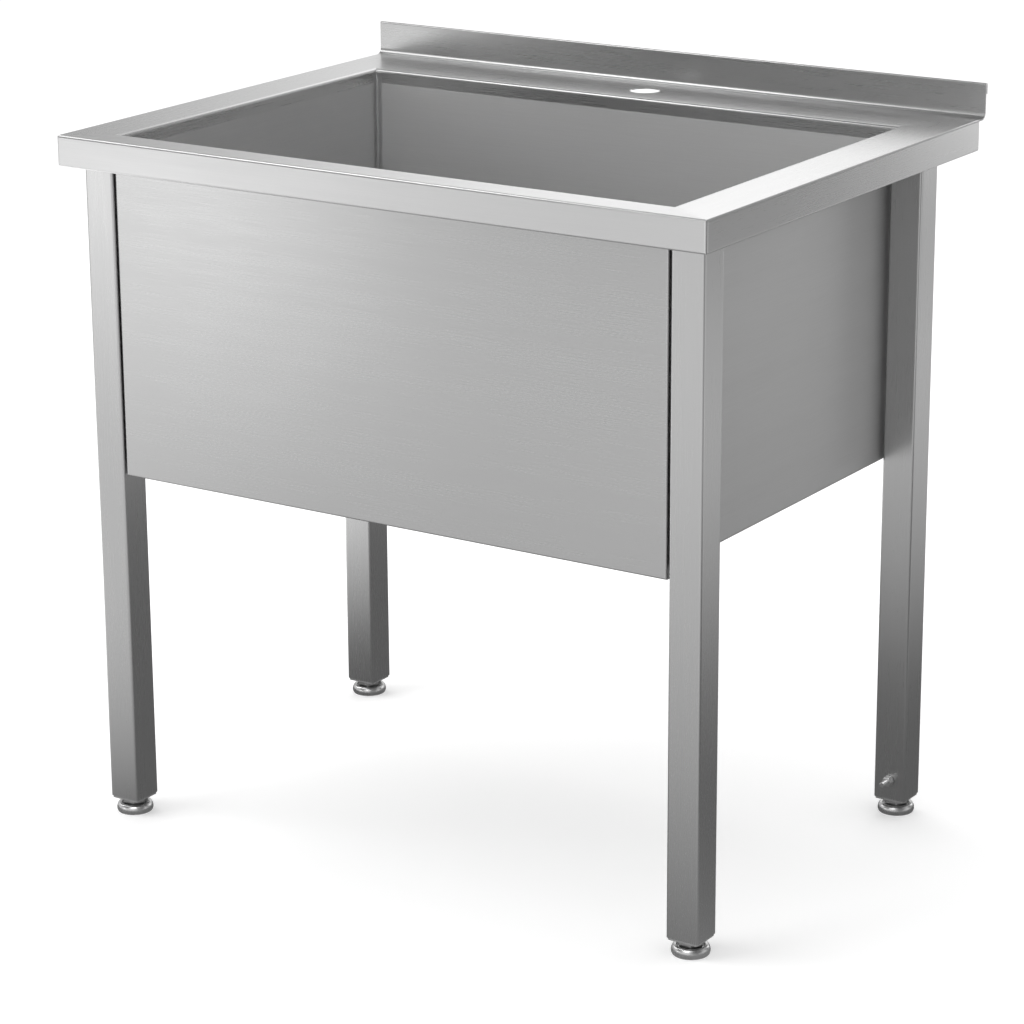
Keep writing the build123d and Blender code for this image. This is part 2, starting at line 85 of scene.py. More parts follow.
class SteelSettings(bpy.types.PropertyGroup):
    sheet: tint("Sheet", "Colour of the brushed sheet", "#CDCDCD")
    # The rim's colour is the sheet's made lighter: painted light that makes the rim in front
    # brighter than the side rims and the deck. Its roughness is its own.
    rim: tint("Rim", "Colour of the brushed rim in front", "#D9D9D9")
    # The panel's colour is the sheet's made darker: partly painted shade under the rim's overhang,
    # partly the panel's own finish.
    panel: tint("Panel", "Colour of the brushed front panel", "#C6C6C6")
    tube: tint("Tube", "Colour of the brushed leg tube", "#CACACA")
    # The bowl's colour is the sheet's made lighter: painted light that stands in for the light
    # inside the bowl. Its satin roughness is its own.
    bowl: tint("Bowl", "Colour of the satin sheet inside the bowl", "#D8D8D8")
    turned: tint("Turned", "Colour of the feet's turned stems", "#CCCCCC")
    buffed: tint("Buffed", "Colour of the feet's buffed bases", "#D4D4D4")
    fastener: tint("Fastener", "Colour of the small screws, the stud and its nut", "#E4E4E4")
    waste: tint("Waste", "Colour of the turned waste and its basket", "#E2E2E2")
    mill: tint("Mill", "Colour of the plain plate under the rim", "#BEBEBE")
    plug: tint("Plug", "Colour of the threaded plugs in the legs", "#DADADA")
    roughness: share("Roughness", "Roughness of the brushed sheet and tube", 0.28)
    rim_roughness: share("Rim roughness", "Roughness of the rim in front", 0.34)
    bowl_roughness: share("Bowl roughness", "Roughness of the satin sheet of the bowl", 0.62)
    grain_spacing: length("Grain spacing", "Distance between the drawn brush lines", 0.8)
    grain_length: length("Grain length", "Length of the drawn brush lines", 65.0)
    waviness: length("Waviness", "How far the thin sheet bows in and out", 0.5)


class WeldSettings(bpy.types.PropertyGroup):
    bead_radius: length("Bead radius", "Inner radius of the dressed corner welds", 2.6)
    band: length("Ground band", "Width that the grinder leaves on each side of a weld", 7.0)
    proud: length("Proud", "How far the ground band stands off the sheet", 0.06)
    ripple: length("Ripple", "Unevenness left in the dressed bead", 0.14)
    stop_spacing: length("Stop spacing", "Distance between the stops of the weld", 52.0)


class FootSettings(bpy.types.PropertyGroup):
    thread_radius: length("Thread radius", "Crest radius of the stem's thread", 5.0)
    thread_pitch: length("Thread pitch", "Rise of the stem's thread in one turn", 1.5)
    thread_depth: length("Thread depth", "Crest to root of the stem's thread", 0.8)
    hex_flats: length("Hexagon", "Across the flats of the collar", 24.0)
    hex_height: length("Hexagon height", "Height of the collar", 9.9)
    seat: length("Seat", "Height of the face that the collar turns on", 7.0)
    recess: length("Recess", "Radius of the recess that the collar stands in", 14.96)
    lip: length("Lip", "Radius at which the dome meets the flat top of its lip", 16.56)
    belt: length("Belt", "Height of the base's widest line", 4.0)


class FixingSettings(bpy.types.PropertyGroup):
    thread_radius: length("Thread radius", "Crest radius of the small screws and the stud", 3.0)
    thread_pitch: length("Thread pitch", "Rise of the small threads in one turn", 1.0)
    thread_depth: length("Thread depth", "Crest to root of the small threads", 0.55)
    hex_flats: length("Hexagon", "Across the flats of the nut and the screw heads", 10.0)
    facets: IntProperty(name="Facets", description="Sides of a turned surface", default=48, min=12)


class StageSettings(bpy.types.PropertyGroup):
    floor: tint("Floor", "Colour of the plain floor", "#F4F4F4")
    fill: FloatProperty(name="Fill", description="Level of the white surroundings on the object",
                        default=0.8, min=0.0)
    lift: share("Lift", "Light added to the floor as the camera sees it, to make it white", 0.25)
    key: FloatProperty(name="Key", description="Power of the large lamp in front on the left",
                       default=110.0, min=0.0, unit="POWER")
    top: FloatProperty(name="Top", description="Power of the softbox overhead", default=50.0,
                       min=0.0, unit="POWER")
    camera: FloatVectorProperty(name="Camera", description="Place of the camera",
                                default=(2.0140, -3.1048, 1.4949), subtype="TRANSLATION")
    focal: FloatProperty(name="Focal length", description="Lens on a 36 mm wide sensor, in mm",
                         default=122.58, min=1.0)


# ---- nodes and materials --------------------------------------------------------------------
def add(tree, kind, inputs=None, **settings):
    """Add a node; inputs are values or other nodes' outputs, by the socket's name or number."""
    node = tree.nodes.new(kind)
    for key, value in settings.items():
        setattr(node, key, value)
    for key, value in (inputs or {}).items():
        if isinstance(value, bpy.types.NodeSocket):
            tree.links.new(value, node.inputs[key])
        else:
            node.inputs[key].default_value = value
    return node


def blank(name):
    """A new material and its empty node tree."""
    made = bpy.data.materials.new(name)
    made.use_nodes = True
    made.node_tree.nodes.clear()
    return made, made.node_tree


def worked(name):
    """A blank material, its tree and the output that gives a point's place on its piece."""
    made, tree = blank(name)
    return made, tree, add(tree, "ShaderNodeTexCoord").outputs["Object"]


def rgba(colour, factor=1.0):
    """A colour for a socket, made darker or lighter by a factor."""
    return [min(1.0, channel * factor) for channel in colour[:3]] + [1.0]


def cells(tree, place, size, detail=2.0, roughness=0.5):
    """Noise whose cells have a real size in metres: one size for all axes, or (x, y, z)."""
    sides = [size] * 3 if isinstance(size, float) else size
    stretched = add(tree, "ShaderNodeMapping",
                    {"Vector": place, "Scale": [1 / side for side in sides]})
    return add(tree, "ShaderNodeTexNoise",
               {"Vector": stretched.outputs[0], "Scale": 1.0, "Detail": detail,
                "Roughness": roughness}).outputs[0]


def coat(tree, pattern, colour, tones, roughness, normal, sockets, usual=(0.3, 0.7)):
    """End a material whose pattern varies its tone and its roughness.

    tones and roughness hold what is reached at each end of the range that most of the pattern
    lies in, which is usual. sockets are further inputs of the shader."""
    portion, rough = [
        add(tree, "ShaderNodeMapRange",
            {"Value": pattern, "From Min": usual[0], "From Max": usual[1], "To Min": low,
             "To Max": high}).outputs[0]
        for low, high in ((0.0, 1.0), roughness)]
    tone = add(tree, "ShaderNodeMix",
               {0: portion, 6: rgba(colour, tones[0]), 7: rgba(colour, tones[1])},
               data_type="RGBA").outputs[2]
    shader = add(tree, "ShaderNodeBsdfPrincipled",
                 {"Base Color": tone, "Roughness": rough, "Normal": normal, **sockets})
    add(tree, "ShaderNodeOutputMaterial", {"Surface": shader.outputs[0]})


def brushed(name, colour, roughness, steel, grain, band=(16.0, 480.0), banding=0.35,
            stretch=0.4):
    """Stainless brushed with a fine belt along one axis.

    The eye sees short parallel hairlines, a sheen that spreads across them, and faint longer
    bands where the belt pressed harder. Real hairlines are about 0.1 mm apart; they are drawn
    eight times as coarse, or they would vanish in the render. band is the width and length of
    a band in millimetres, banding its weight beside the soft clouds, and stretch how far the
    sheen spreads."""
    made, tree, place = worked(name)
    axis = AXES[grain]
    cloud, bow = 280.0 * MM, 170.0 * MM
    groove, uneven = 0.03 * MM, 0.025

    def along(across, run):
        size = [across, across, across]
        size[axis] = run
        return size

    hairlines = cells(tree, place, along(steel.grain_spacing, steel.grain_length), detail=3.0,
                      roughness=0.65)
    bands = cells(tree, place, along(band[0] * MM, band[1] * MM))
    clouds = cells(tree, place, cloud)
    broad = add(tree, "ShaderNodeMix", {0: banding, 2: clouds, 3: bands}).outputs[0]
    pattern = add(tree, "ShaderNodeMix", {0: 0.5, 2: hairlines, 3: broad}).outputs[0]
    bowed = add(tree, "ShaderNodeBump",
                {"Height": cells(tree, place, bow, detail=1.0), "Distance": steel.waviness})
    grooves = add(tree, "ShaderNodeBump",
                  {"Height": hairlines, "Strength": 0.03, "Distance": groove,
                   "Normal": bowed.outputs[0]})
    line = add(tree, "ShaderNodeCombineXYZ", dict(enumerate(along(0.0, 1.0))))
    tangent = add(tree, "ShaderNodeVectorTransform", {0: line.outputs[0]},
                  convert_from="OBJECT", convert_to="WORLD")
    coat(tree, pattern, colour, tones=(0.98, 1.02),
         roughness=(roughness + uneven, roughness - uneven), normal=grooves.outputs[0],
         sockets={"Metallic": 1.0, "Anisotropic": stretch, "Anisotropic Rotation": 0.25,
                  "Tangent": tangent.outputs[0]}, usual=(0.34, 0.66))
    return made


def ground(name, colour):
    """A weld dressed with a flap disc: short coarse arcs of scratches, a little brighter."""
    made, tree, place = worked(name)
    swirl = cells(tree, place, 20.0 * MM, detail=1.0)
    askew = add(tree, "ShaderNodeMapping", {"Vector": place, "Rotation": (0.4, 0.7, 0.5)})
    scratches = cells(tree, askew.outputs[0], (0.7 * MM, 9.0 * MM, 0.7 * MM), detail=3.0,
                      roughness=0.6)
    pattern = add(tree, "ShaderNodeMix", {0: 0.4, 2: scratches, 3: swirl}).outputs[0]
    bump = add(tree, "ShaderNodeBump",
               {"Height": scratches, "Strength": 0.5, "Distance": 0.05 * MM})
    coat(tree, pattern, colour, tones=(0.94, 1.1), roughness=(0.27, 0.42),
         normal=bump.outputs[0], sockets={"Metallic": 1.0})
    return made


def turned_metal(name, colour, roughness, centre=(0.0, 0.0), groove=0.5, depth=0.02):
    """Stainless turned in a lathe: fine rings about the axis that fan the highlights out.

    Real tool marks are about 0.1 mm apart; they are drawn five times as coarse. groove is
    their width and depth their depth, in millimetres."""
    made, tree, place = worked(name)
    centred = add(tree, "ShaderNodeMapping",
                  {"Vector": place, "Location": (-centre[0], -centre[1], 0.0)})
    parts = add(tree, "ShaderNodeSeparateXYZ", {0: centred.outputs[0]})
    flat = add(tree, "ShaderNodeCombineXYZ", {0: parts.outputs[0], 1: parts.outputs[1]})
    radius = add(tree, "ShaderNodeVectorMath", {0: flat.outputs[0]}, operation="LENGTH")
    rings = add(tree, "ShaderNodeCombineXYZ", {0: radius.outputs["Value"], 1: parts.outputs[2]})
    marks = cells(tree, rings.outputs[0], (groove * MM, groove * MM, 1.0), roughness=0.6)
    stain = cells(tree, place, 12.0 * MM)
    pattern = add(tree, "ShaderNodeMix", {0: 0.45, 2: marks, 3: stain}).outputs[0]
    bump = add(tree, "ShaderNodeBump",
               {"Height": marks, "Strength": 0.4, "Distance": depth * MM})
    tangent = add(tree, "ShaderNodeTangent", direction_type="RADIAL", axis="Z")
    coat(tree, pattern, colour, tones=(0.92, 1.06),
         roughness=(roughness - 0.05, roughness + 0.07), normal=bump.outputs[0],
         sockets={"Metallic": 1.0, "Anisotropic": 0.35, "Tangent": tangent.outputs[0]})
    return made


def mill_plate(name, colour):
    """Plate with no grain, as rolled or blasted: dull and faintly mottled."""
    made, tree, place = worked(name)
    fine = cells(tree, place, 2.0 * MM, detail=3.0, roughness=0.7)
    soft = cells(tree, place, 40.0 * MM)
    mottle = add(tree, "ShaderNodeMix", {0: 0.5, 2: fine, 3: soft}).outputs[0]
    bump = add(tree, "ShaderNodeBump",
               {"Height": mottle, "Strength": 0.3, "Distance": 0.05 * MM})
    coat(tree, mottle, colour, tones=(0.9, 1.04), roughness=(0.38, 0.52),
         normal=bump.outputs[0], sockets={"Metallic": 1.0})
    return made


def moulded(name, colour, roughness, texture, depth, ior=1.5):
    """Moulded rubber or plastic: the fine even skin that the mould's spark-eroded face leaves.

    texture and depth are the skin's grain size and depth in millimetres."""
    made, tree, place = worked(name)
    skin = cells(tree, place, texture * MM, roughness=0.6)
    flow = cells(tree, place, 30.0 * MM)
    pattern = add(tree, "ShaderNodeMix", {0: 0.5, 2: skin, 3: flow}).outputs[0]
    bump = add(tree, "ShaderNodeBump",
               {"Height": skin, "Strength": 0.5, "Distance": depth * MM})
    coat(tree, pattern, linear(colour), tones=(0.92, 1.05),
         roughness=(roughness - 0.06, roughness + 0.06), normal=bump.outputs[0],
         sockets={"IOR": ior})
    return made


def material(name, make, *arguments, **settings):
    """A material that is made the first time that it is asked for."""
    return bpy.data.materials.get(name) or make(name, *arguments, **settings)


def dress(finish, *nodes):
    """Give a finish to the frame's own nodes."""
    for node in nodes:
        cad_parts[node].material_slots[0].material = finish


# ---- meshes ---------------------------------------------------------------------------------
TOUCHING = 0.001 * MM                               # points closer than this are one point


def swept(bm, outline, steps, jump=0):
    """Turn an outline about Z.

    outline(angle) gives its (radius, height) points in order; jump is how many points a helix
    climbs in one turn."""
    columns = []
    for step in range(steps):
        angle = 2 * math.pi * step / steps
        columns.append([bm.verts.new((r * math.cos(angle), r * math.sin(angle), z))
                        for r, z in outline(angle)])
    for step, left in enumerate(columns):
        right = columns[(step + 1) % steps]
        climb = jump if step == steps - 1 else 0
        for row in range(len(left) - 1 - climb):
            bm.faces.new((left[row], right[row + climb], right[row + climb + 1], left[row + 1]))


def plain(points):
    """An outline that is the same all the way round."""
    return lambda angle: points


def thread(radius, depth, pitch, bottom, top):
    """Outline of a helical thread with bevelled ends, and the rows that it climbs in a turn."""
    form = [0.0, 0.0, 0.5, 1.0, 1.0, 0.5]           # crest, flank, root and flank, by the depth
    rows = len(form)
    count = int((top - bottom) / pitch * rows) + 2 * rows
    core = radius - depth

    def outline(angle):
        points = [(0.0, bottom)]
        for row in range(-rows, count):
            z = bottom + pitch * (row / rows + angle / (2 * math.pi))
            z = min(max(z, bottom), top)
            r = radius - depth * form[row % rows]
            points.append((min(r, core + z - bottom, core + top - z), z))
        return points + [(0.0, top)]

    return outline, rows


def hexagon(flats, bottom, top, bevel, bore=0.0, low_bevel=True):
    """Outline of a hexagon with its corners turned off, top and bottom."""
    corner = flats / math.sqrt(3) - bevel
    slope = 0.6                                     # how fast the turned-off corners drop

    def outline(angle):
        reach = flats / 2 / math.cos(angle % (math.pi / 3) - math.pi / 6)
        drop = max(0.0, reach - corner) * slope
        inner = min(reach, corner)
        low = [(inner, bottom), (reach, bottom + drop)] if low_bevel else [(reach, bottom)] * 2
        closing = [(bore, bottom)] if bore else []
        return [(bore, bottom), *low, (reach, top - drop), (inner, top), (bore, top), *closing]

    return outline


def finished(name, bm, sharp=32.0):
    """Weld doubled points, close the ends and make a mesh, smooth up to a crease angle."""
    bmesh.ops.remove_doubles(bm, verts=bm.verts, dist=TOUCHING)
    bmesh.ops.dissolve_degenerate(bm, edges=bm.edges, dist=TOUCHING)
    open_edges = [edge for edge in bm.edges if edge.is_boundary]
    if open_edges:
        bmesh.ops.holes_fill(bm, edges=open_edges, sides=0)
    bmesh.ops.recalc_face_normals(bm, faces=bm.faces)
    mesh = bpy.data.meshes.new(name)
    bm.to_mesh(mesh)
    bm.free()
    mesh.shade_smooth()
    mesh.set_sharp_from_angle(angle=math.radians(sharp))
    return mesh


def piece(name, mesh, finish, body="frame", at=(0.0, 0.0, 0.0), stands_for=None):
    """Link a mesh as a piece that rides on a body and takes a slot's finish."""
    made = bpy.data.objects.new(name, mesh)
    bpy.context.scene.collection.objects.link(made)
    made.location = at
    made.data.materials.append(finish)
    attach(made, body)
    if stands_for:
        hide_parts(stands_for)
    return made


def middle(node):
    """Middle of the box round one of the frame's nodes."""
    low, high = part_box(node)
    return (low + high) / 2


# ---- the pieces -----------------------------------------------------------------------------
class SINK_OT_rim(bpy.types.Operator):
    """Brush the rim's five pieces along their lengths"""
    bl_idname = "sink.rim"
    bl_label = "Rim and Upstand"

    def execute(self, context):
        steel = context.scene.sink_steel
        across = material("Brushed Stainless Sheet X", brushed, steel.sheet, steel.roughness,
                          steel, "X")
        deep = material("Brushed Stainless Sheet Y", brushed, steel.sheet, steel.roughness,
                        steel, "Y")
        # The rim in front takes the lighter rim colour: painted light.
        front = material("Brushed Stainless Rim", brushed, steel.rim, steel.rim_roughness, steel,
                         "X", stretch=0.3)
        dress(front, "rim_front")
        dress(across, "rear_deck", "upstand")
        dress(deep, "rim_left", "rim_right")
        return {"FINISHED"}


class SINK_OT_bowl(bpy.types.Operator):
    """Brush the bowl and the front panel"""
    bl_idname = "sink.bowl"
    bl_label = "Bowl and Panel"

    def execute(self, context):
        steel = context.scene.sink_steel
        # The panel takes the darker panel colour: partly painted shade under the rim.
        panel = material("Brushed Stainless Panel", brushed, steel.panel, steel.roughness, steel,
                         "X", stretch=0.6)
        # The bowl takes the lighter bowl colour: painted light inside the bowl.
        across = material("Satin Stainless Bowl X", brushed, steel.bowl, steel.bowl_roughness,
                          steel, "X", stretch=0.2)
        deep = material("Satin Stainless Bowl Y", brushed, steel.bowl, steel.bowl_roughness,
                        steel, "Y", stretch=0.2)
        dress(panel, "front_panel")
        dress(across, "bowl_wall_front", "bowl_wall_back", "bowl_floor")
        dress(deep, "bowl_wall_left", "bowl_wall_right")
        return {"FINISHED"}


class SINK_OT_welds(bpy.types.Operator):
    """Run a dressed weld down each inner corner and round the floor of the bowl"""
    bl_idname = "sink.welds"
    bl_label = "Bowl Welds"

    sunk = 0.2 * MM                                 # how deep a weld's back lies in the sheet
    ripples = 700.0, 1730.0                         # radians a metre: 9 mm and 3.6 mm long
    waver = 190.0                                   # of the ground band's edge: 33 mm long

    def execute(self, context):
        welds = context.scene.sink_welds
        finish = material("Ground Stainless Weld", ground, context.scene.sink_steel.sheet)
        left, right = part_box("bowl_wall_left")[1].x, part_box("bowl_wall_right")[0].x
        front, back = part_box("bowl_wall_front")[1].y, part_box("bowl_wall_back")[0].y
        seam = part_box("bowl_wall_left")[0].z
        under_rim, below_seam = 4.5 * MM, 11.0 * MM
        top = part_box("rim_front")[1].z - under_rim
        bottom = seam - below_seam
        for corner in CORNERS:
            end, side = corner.split("_")
            x, y = (left if side == "left" else right), (front if end == "front" else back)
            mesh = self.bead("bowl_weld_" + corner, welds, bottom, top,
                             1 if side == "left" else -1, 1 if end == "front" else -1)
            piece("bowl_weld_" + corner, mesh, finish, at=(x, y, 0.0))
        bm = bmesh.new()
        turns = [(left, front), (left, back), (right, back), (right, front)]
        for start, end in zip(turns, turns[1:] + turns[:1]):
            self.band(bm, welds, Vector((*start, seam)), Vector((*end, seam)))
        piece("bowl_floor_weld", finished("bowl_floor_weld", bm), finish)
        return {"FINISHED"}

    def bead(self, name, welds, bottom, top, in_x, in_y):
        """Hollow fillet between two ground bands, drawn from the corner itself."""
        rise, fade_low, fade_high = 1.5 * MM, 4 * MM, 9 * MM
        count = int((top - bottom) / rise)
        bm = bmesh.new()
        rings = []
        for row in range(count + 1):
            z = bottom + row * (top - bottom) / count
            ease = min(1.0, (z - bottom) / fade_low, (top - z) / fade_high)
            section = self.fillet(welds, z, z - bottom, ease)
            rings.append([bm.verts.new((in_x * u, in_y * v, z)) for u, v in section])
        for low, high in zip(rings, rings[1:]):
            for i in range(len(low)):
                j = (i + 1) % len(low)
                bm.faces.new((low[i], low[j], high[j], high[i]))
        bm.faces.new(rings[0])
        bm.faces.new(rings[-1])
        return finished(name, bm, sharp=50.0)

    def fillet(self, welds, z, climbed, ease):
        """The bead's section at a height: ripples, a lump at each stop and wavering bands."""
        steps, least, edge = 10, 0.3 * MM, 0.6 * MM
        lump, sharpness = 3.0, 26
        long, short = self.ripples                  # the short one is weaker and out of step
        wave = math.sin(z * long) + 0.6 * math.sin(z * short + 1.3)
        off = climbed % welds.stop_spacing / welds.stop_spacing - 0.5
        stop = lump * math.exp(-(off * sharpness) ** 2)
        r = max(least, ease * (welds.bead_radius + welds.ripple * (wave + stop)))
        band = welds.band + edge * math.sin(z * self.waver + 0.7)
        proud, sunk = welds.proud, self.sunk
        section = [(band, 0.0), (band - edge, proud)]
        for step in range(steps + 1):
            angle = math.pi * (1.5 - 0.5 * step / steps)
            section.append((r + (r - proud) * math.cos(angle),
                            r + (r - proud) * math.sin(angle)))
        return section + [(proud, band - edge), (0.0, band), (-sunk, band), (-sunk, -sunk),
                          (band, -sunk)]

    def band(self, bm, welds, start, end):
        """Ground strip over the seam between the floor's upturned edge and a wall."""
        inward = Vector((0, 0, 1)).cross(end - start).normalized() * -1
        half, edge, sunk = 5.0 * MM, 0.8 * MM, self.sunk
        section = [(0.0, -half), (welds.proud, edge - half), (welds.proud, half - edge),
                   (0.0, half), (-sunk, half), (-sunk, -half)]
        run = (end - start).normalized() * welds.bead_radius
        ends = []
        for place in (start + run, end - run):
            ends.append([bm.verts.new(place + inward * u + Vector((0, 0, v))) for u, v in section])
        count = len(section)
        for i in range(count):
            j = (i + 1) % count
            bm.faces.new((ends[0][i], ends[0][j], ends[1][j], ends[1][i]))
        bm.faces.new(ends[0])
        bm.faces.new(ends[1])


class SINK_OT_legs(bpy.types.Operator):
    """Finish the legs, the sockets under the rim and the threaded plugs"""
    bl_idname = "sink.legs"
    bl_label = "Legs"

    def execute(self, context):
        steel = context.scene.sink_steel
        tube = material("Brushed Stainless Tube", brushed, steel.tube, steel.roughness, steel, "Z",
                        band=(12.0, 420.0), banding=0.4)
        plate = material("Mill Stainless Plate", mill_plate, steel.mill)
        plug = material("Blasted Stainless Plug", mill_plate, steel.plug)
        for corner in CORNERS:
            dress(tube, "leg_" + corner)
            dress(plate, "leg_socket_" + corner)
            dress(plug, "leg_insert_" + corner)
        return {"FINISHED"}


class SINK_OT_feet(bpy.types.Operator):
    """Cut the stems' threads and turn the round bases of the four feet"""
    bl_idname = "sink.feet"
    bl_label = "Levelling Feet"

    # The base's rounded edge and the groove over it: how far in from its widest line and how
    # high each point is, in mm.
    skirt = ((2.4, 0.0), (1.5, 0.25), (0.9, 0.8), (0.65, 1.4), (0.95, 1.6), (0.95, 1.85),
             (0.4, 2.1), (0.1, 3.0))

    def execute(self, context):
        feet, fixings = context.scene.sink_feet, context.scene.sink_fixings
        steel = context.scene.sink_steel
        finish = material("Turned Stainless", turned_metal, steel.turned, roughness=0.3)
        bright = material("Buffed Stainless Foot", turned_metal, steel.buffed, roughness=0.26,
                          depth=0.01)
        for corner in CORNERS:
            low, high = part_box("foot_screw_" + corner)
            at = ((low.x + high.x) / 2, (low.y + high.y) / 2, 0.0)
            screw = self.screw("foot_stem_" + corner, feet, fixings, low.z, high.z)
            piece("foot_stem_" + corner, screw, finish,
                  "screw_" + corner, at, "foot_screw_" + corner)
            low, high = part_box("foot_base_" + corner)
            base = self.base("foot_pad_" + corner, feet, fixings, high.z, (high.x - low.x) / 2)
            piece("foot_pad_" + corner, base, bright,
                  "base_" + corner, at, "foot_base_" + corner)
        return {"FINISHED"}

    def screw(self, name, feet, fixings, bottom, top):
        """Spigot that turns in the base, hexagonal collar and threaded stem."""
        gap, spigot, tip, bevel = 0.3 * MM, 5.7 * MM, 0.4 * MM, 1.4 * MM
        collar = feet.seat + gap
        collar_top = collar + feet.hex_height
        bm = bmesh.new()
        swept(bm, plain([(0.0, bottom), (spigot - tip, bottom), (spigot, bottom + tip),
                         (spigot, collar), (0.0, collar)]), fixings.facets)
        swept(bm, hexagon(feet.hex_flats, collar, collar_top, bevel), fixings.facets * 2)
        outline, rows = thread(feet.thread_radius, feet.thread_depth, feet.thread_pitch,
                               collar_top, top)
        swept(bm, outline, fixings.facets, rows)
        return finished(name, bm)

    def base(self, name, feet, fixings, top, radius):
        """Domed base with a light groove near the floor, a recess for the collar and a socket."""
        socket, floor, edge, steps = 6.0 * MM, 2.5 * MM, 0.5 * MM, 12
        points = [(0.0, 0.0)] + [(radius - inset * MM, z * MM) for inset, z in self.skirt]
        for step in range(steps + 1):
            turn = math.pi / 2 * step / steps
            points.append((feet.lip + (radius - feet.lip) * math.cos(turn),
                           feet.belt + (top - feet.belt) * math.sin(turn)))
        points += [(feet.recess + edge, top), (feet.recess, top - edge),
                   (feet.recess, feet.seat), (socket + edge, feet.seat),
                   (socket, feet.seat - edge), (socket, floor), (0.0, floor)]
        bm = bmesh.new()
        swept(bm, plain(points), fixings.facets * 2)
        return finished(name, bm, sharp=40.0)


class SINK_OT_fixings(bpy.types.Operator):
    """Turn the heads of the leg screws, the earth stud's thread and its nut"""
    bl_idname = "sink.fixings"
    bl_label = "Screws and Earth Stud"

    bevel = 0.8 * MM

    def execute(self, context):
        fixings, steel = context.scene.sink_fixings, context.scene.sink_steel
        bright = material("Rolled Stainless Fastener", turned_metal, steel.fastener,
                          roughness=0.3)
        dress(bright, "earth_washer")
        self.leg_screws(fixings, bright)
        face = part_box("leg_rear_right")[0].y
        at = (middle("earth_stud").x, face, middle("earth_stud").z)
        outward = Matrix.Rotation(math.pi / 2, 4, "X")
        stud, nut = self.stud(fixings, face), self.nut(fixings, face)
        for part in (stud, nut):
            part.transform(outward)
        piece("earth_stud_thread", finished("earth_stud_thread", stud), bright,
              at=at, stands_for="earth_stud")
        piece("earth_stud_nut", finished("earth_stud_nut", nut), bright,
              at=at, stands_for="earth_nut")
        return {"FINISHED"}

    def stud(self, fixings, face):
        """Threaded stud and the weld round its foot, standing up from the leg's face at 0."""
        low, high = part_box("earth_stud")
        root, weld, weld_top, thread_start = face - high.y, 4.2 * MM, 0.9 * MM, 0.8 * MM
        bm = bmesh.new()
        swept(bm, plain([(0.0, root), (weld - 1.0 * MM, root), (weld, 0.0),
                         (weld - 0.3 * MM, 0.35 * MM), (weld - 0.9 * MM, 0.7 * MM),
                         (fixings.thread_radius - 0.2 * MM, weld_top), (0.0, weld_top)]),
              fixings.facets)
        outline, rows = thread(fixings.thread_radius, fixings.thread_depth, fixings.thread_pitch,
                               thread_start, face - low.y)
        swept(bm, outline, fixings.facets, rows)
        return bm

    def nut(self, fixings, face):
        """Bevelled nut that bites a little into the thread, so that no gap shows."""
        low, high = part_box("earth_nut")
        bm = bmesh.new()
        swept(bm, hexagon(fixings.hex_flats, face - high.y, face - low.y, self.bevel,
                          fixings.thread_radius - 0.1 * MM), fixings.facets * 2)
        return bm

    def leg_screws(self, fixings, finish):
        """Eight hexagon screws, two in the back of each leg, as one piece."""
        low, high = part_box("leg_screws")
        half_head = 5.0 * MM * 2 / math.sqrt(3)     # of the plain heads that these stand for
        head, shank, tip = 4.0 * MM, 9.0 * MM, 0.5 * MM
        radius = fixings.thread_radius
        turn = Matrix.Rotation(-math.pi / 2, 4, "X")
        bm = bmesh.new()
        for corner in CORNERS:
            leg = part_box("leg_" + corner)
            for z in (high.z - half_head, low.z + half_head):
                one = bmesh.new()
                swept(one, plain([(0.0, -shank), (radius - tip, -shank), (radius, tip - shank),
                                  (radius, 0.0), (0.0, 0.0)]), fixings.facets)
                swept(one, hexagon(fixings.hex_flats, 0.0, head, self.bevel, low_bevel=False),
                      fixings.facets * 2)
                place = Vector(((leg[0].x + leg[1].x) / 2, leg[1].y, z))
                one.transform(Matrix.Translation(place) @ turn)
                mesh = finished("screw", one)
                bm.from_mesh(mesh)
                bpy.data.meshes.remove(mesh)
        piece("leg_screw_set", finished("leg_screw_set", bm), finish,
              stands_for="leg_screws")


class SINK_OT_waste(bpy.types.Operator):
    """Finish the waste under the bowl and its lift-out basket"""
    bl_idname = "sink.waste"
    bl_label = "Waste and Basket"

    def execute(self, context):
        steel = context.scene.sink_steel
        satin = material("Satin Stainless Waste", turned_metal, steel.waste, roughness=0.3,
                         centre=(WASTE_X, WASTE_Y), groove=0.7, depth=0.006)
        rubber = material("EPDM Rubber", moulded, "#262626", roughness=0.62, texture=0.5,
                          depth=0.04, ior=1.52)
        slip = material("Polyethylene Ring", moulded, "#D9D9D4", roughness=0.5, texture=0.8,
                        depth=0.02)
        nut = material("Moulded Polypropylene", moulded, "#E6E6E2", roughness=0.42, texture=0.6,
                       depth=0.03)
        dress(satin, "waste_body", "tailpiece", "basket_cup", "basket_post")
        dress(rubber, "waste_top_seal", "waste_under_seal", "tail_washer", "basket_seal")
        dress(slip, "waste_friction_ring")
        dress(nut, "waste_locknut", "slip_nut")
        return {"FINISHED"}


# ---- the stage ------------------------------------------------------------------------------
FLOOR_REACH = 60.0
FLOOR_EDGE = 30.0 * MM                              # closes the step to a tile that has gone down

# The tent round the set is seen by the steel alone. Its level is how bright it is where no zone
# lies, and its darkest is what no zone takes it below.
TENT_RADIUS = 2.4
TENT_LEVEL = 0.95
TENT_DARKEST = 0.16
